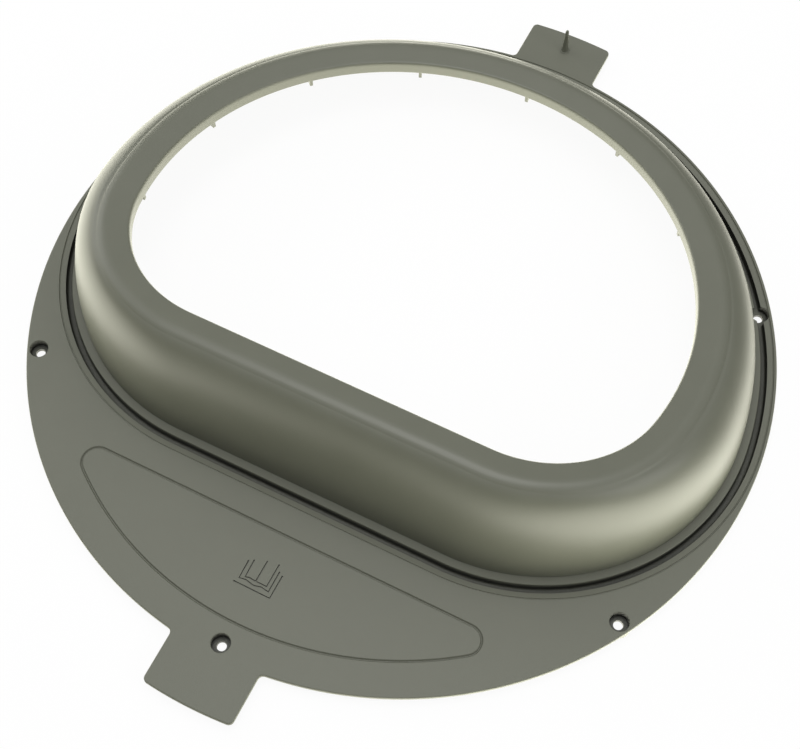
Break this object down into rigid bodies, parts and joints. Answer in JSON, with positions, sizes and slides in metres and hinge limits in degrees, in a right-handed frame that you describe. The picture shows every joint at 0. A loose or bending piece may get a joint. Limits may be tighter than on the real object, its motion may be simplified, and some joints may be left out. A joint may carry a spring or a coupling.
{
  "type": "dryer door glass holder",
  "caption": "Round moulded flange with a leaning D-shaped collar that holds a tumble dryer's door glass, with a seal groove, screw cups, tabs and a locating pin.",
  "frame": {"origin": "centre of the round flange, in the rear plane that the seal channel and screw cups stand on", "axes": "+Z from the rear plane towards the collar's rim and the drum, +Y from the straight side of the D to its round side, +X to the right"},
  "size_m": [0.4198, 0.478, 0.0766],
  "materials": {
    "grey_plastic": "satin moulded plastic with a fine grain"
  },
  "bodies": {
    "root": {"glass_holder": "grey_plastic"}
  },
  "joints": []
}
